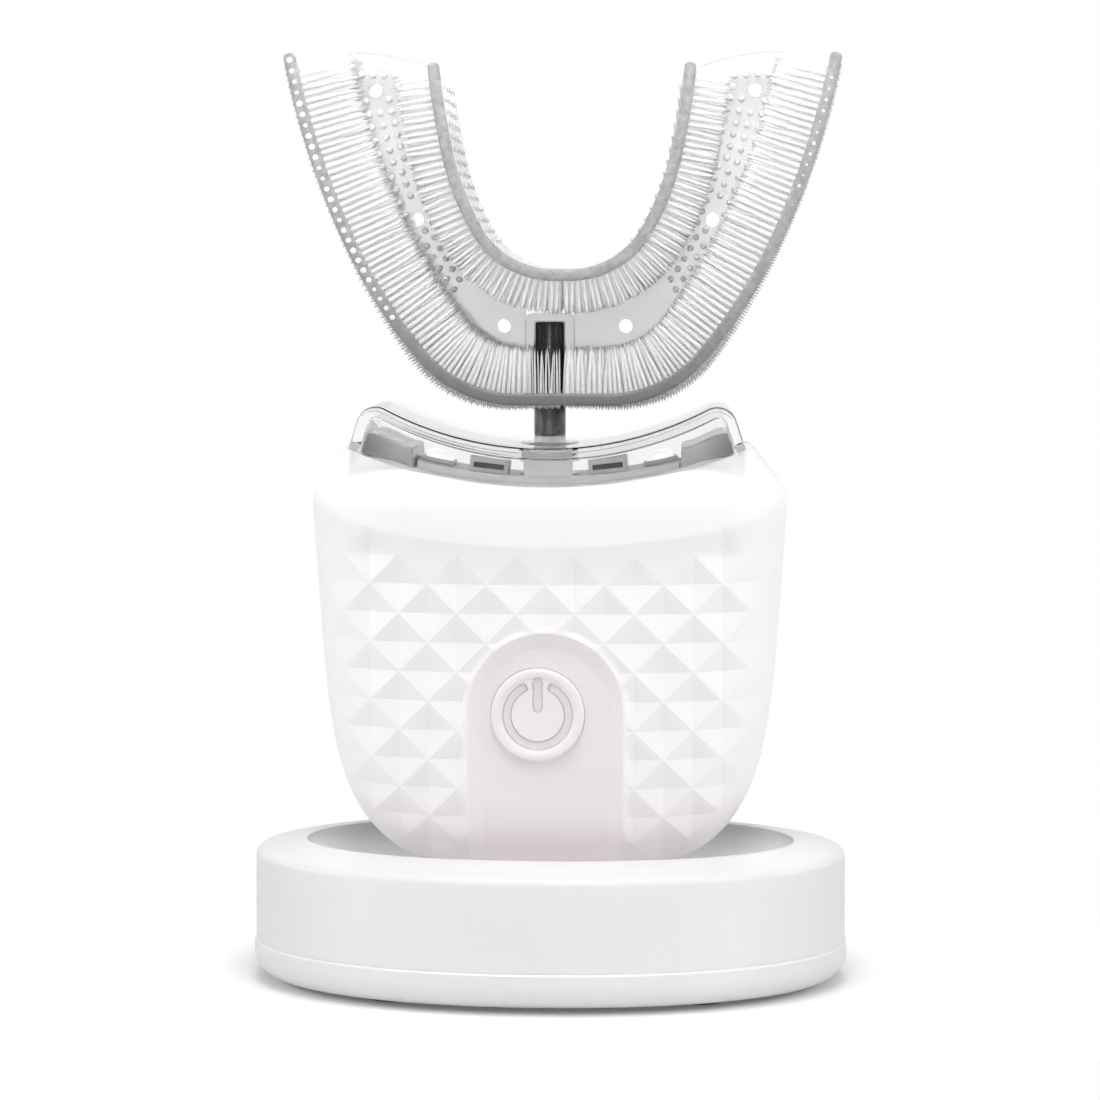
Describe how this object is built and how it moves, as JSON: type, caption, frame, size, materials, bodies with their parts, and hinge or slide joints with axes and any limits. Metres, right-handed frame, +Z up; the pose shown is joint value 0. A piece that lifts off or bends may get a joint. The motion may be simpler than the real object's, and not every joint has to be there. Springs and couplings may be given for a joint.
{
  "type": "electric toothbrush on charger",
  "caption": "U-shaped automatic toothbrush with a clear bristled mouthpiece, clear light cover and diamond-faceted handset, standing in an oval inductive charging dock.",
  "frame": {"origin": "centre of the underside of the dock's feet, on the table", "axes": "+Z up along the drive shaft, -Y towards the front with the power button, +X to the right seen from the front"},
  "size_m": [0.072, 0.0446, 0.1115],
  "materials": {
    "dock_shell": "satin moulded ABS, very fine texture",
    "handset_shell": "satin moulded ABS, pearly white",
    "button_plastic": "satin moulded ABS",
    "clear_cover": "clear polycarbonate, polished",
    "clear_silicone": "clear soft silicone, slightly milky",
    "white_silicone": "white silicone, matt",
    "socket_plastic": "grey nylon, glossy",
    "shaft_steel": "dark polished steel",
    "steel": "bright plated steel",
    "rubber": "black rubber, matt",
    "circuit_board": "green solder mask over glass fibre",
    "chips": "black moulded packages",
    "copper": "enamelled copper wire",
    "ferrite": "sintered ferrite, matt",
    "inner_plastic": "grey-white moulded ABS",
    "light_lens": "clear-topped light packages",
    "diffuser": "smoky grey moulded blocks",
    "battery_wrap": "shrink-wrapped steel can",
    "bronze": "sintered bronze",
    "magnet": "nickel-plated magnet"
  },
  "bodies": {
    "dock": {"dock_housing": "dock_shell", "dock_base": "dock_shell", "dock_feet": "rubber", "dock_screws": "steel", "dock_board": "circuit_board", "dock_chips": "chips", "charging_inlet": "steel", "dock_coil": "copper", "dock_ferrite": "ferrite"},
    "handset": {"front_shell": "handset_shell", "rear_shell": "handset_shell", "shell_gasket": "white_silicone", "shell_screws": "steel", "light_cover": "clear_cover", "top_deck": "inner_plastic", "light_board": "circuit_board", "light_modules": "light_lens", "light_diffusers": "diffuser", "shaft_seals": "rubber", "chassis": "inner_plastic", "battery": "battery_wrap", "main_board": "circuit_board", "board_chips": "chips", "tact_switch": "steel", "receiver_coil": "copper", "receiver_ferrite": "ferrite", "motor_can": "steel", "motor_stator": "copper", "motor_bearings": "bronze", "motor_cushions": "rubber"},
    "button": {"power_button": "button_plastic"},
    "drive": {"drive_shaft": "shaft_steel", "motor_rotor": "magnet"},
    "mouthpiece": {"bite_plate": "clear_silicone", "outer_wall": "clear_silicone", "inner_wall": "clear_silicone", "shaft_socket": "socket_plastic", "outer_bristles": "clear_silicone", "inner_bristles": "clear_silicone", "outer_nubs": "clear_silicone"}
  },
  "joints": [
    {"name": "handset_lift", "type": "slide", "parent": "dock", "child": "handset", "axis": [0, 0, 1], "range_m": [0, 0.03]},
    {"name": "button_press", "type": "slide", "parent": "handset", "child": "button", "axis": [0, 1, 0], "range_m": [0, 0.0006], "stiffness_N_per_m": 800},
    {"name": "drive_turn", "type": "hinge", "parent": "handset", "child": "drive", "pos_m": [0, 0, 0.0651], "axis": [0, 0, 1], "range_deg": [-3, 3], "stiffness_Nm_per_rad": 0.4},
    {"name": "mouthpiece_pull", "type": "slide", "parent": "drive", "child": "mouthpiece", "axis": [0, 0, 1], "range_m": [0, 0.02]}
  ]
}
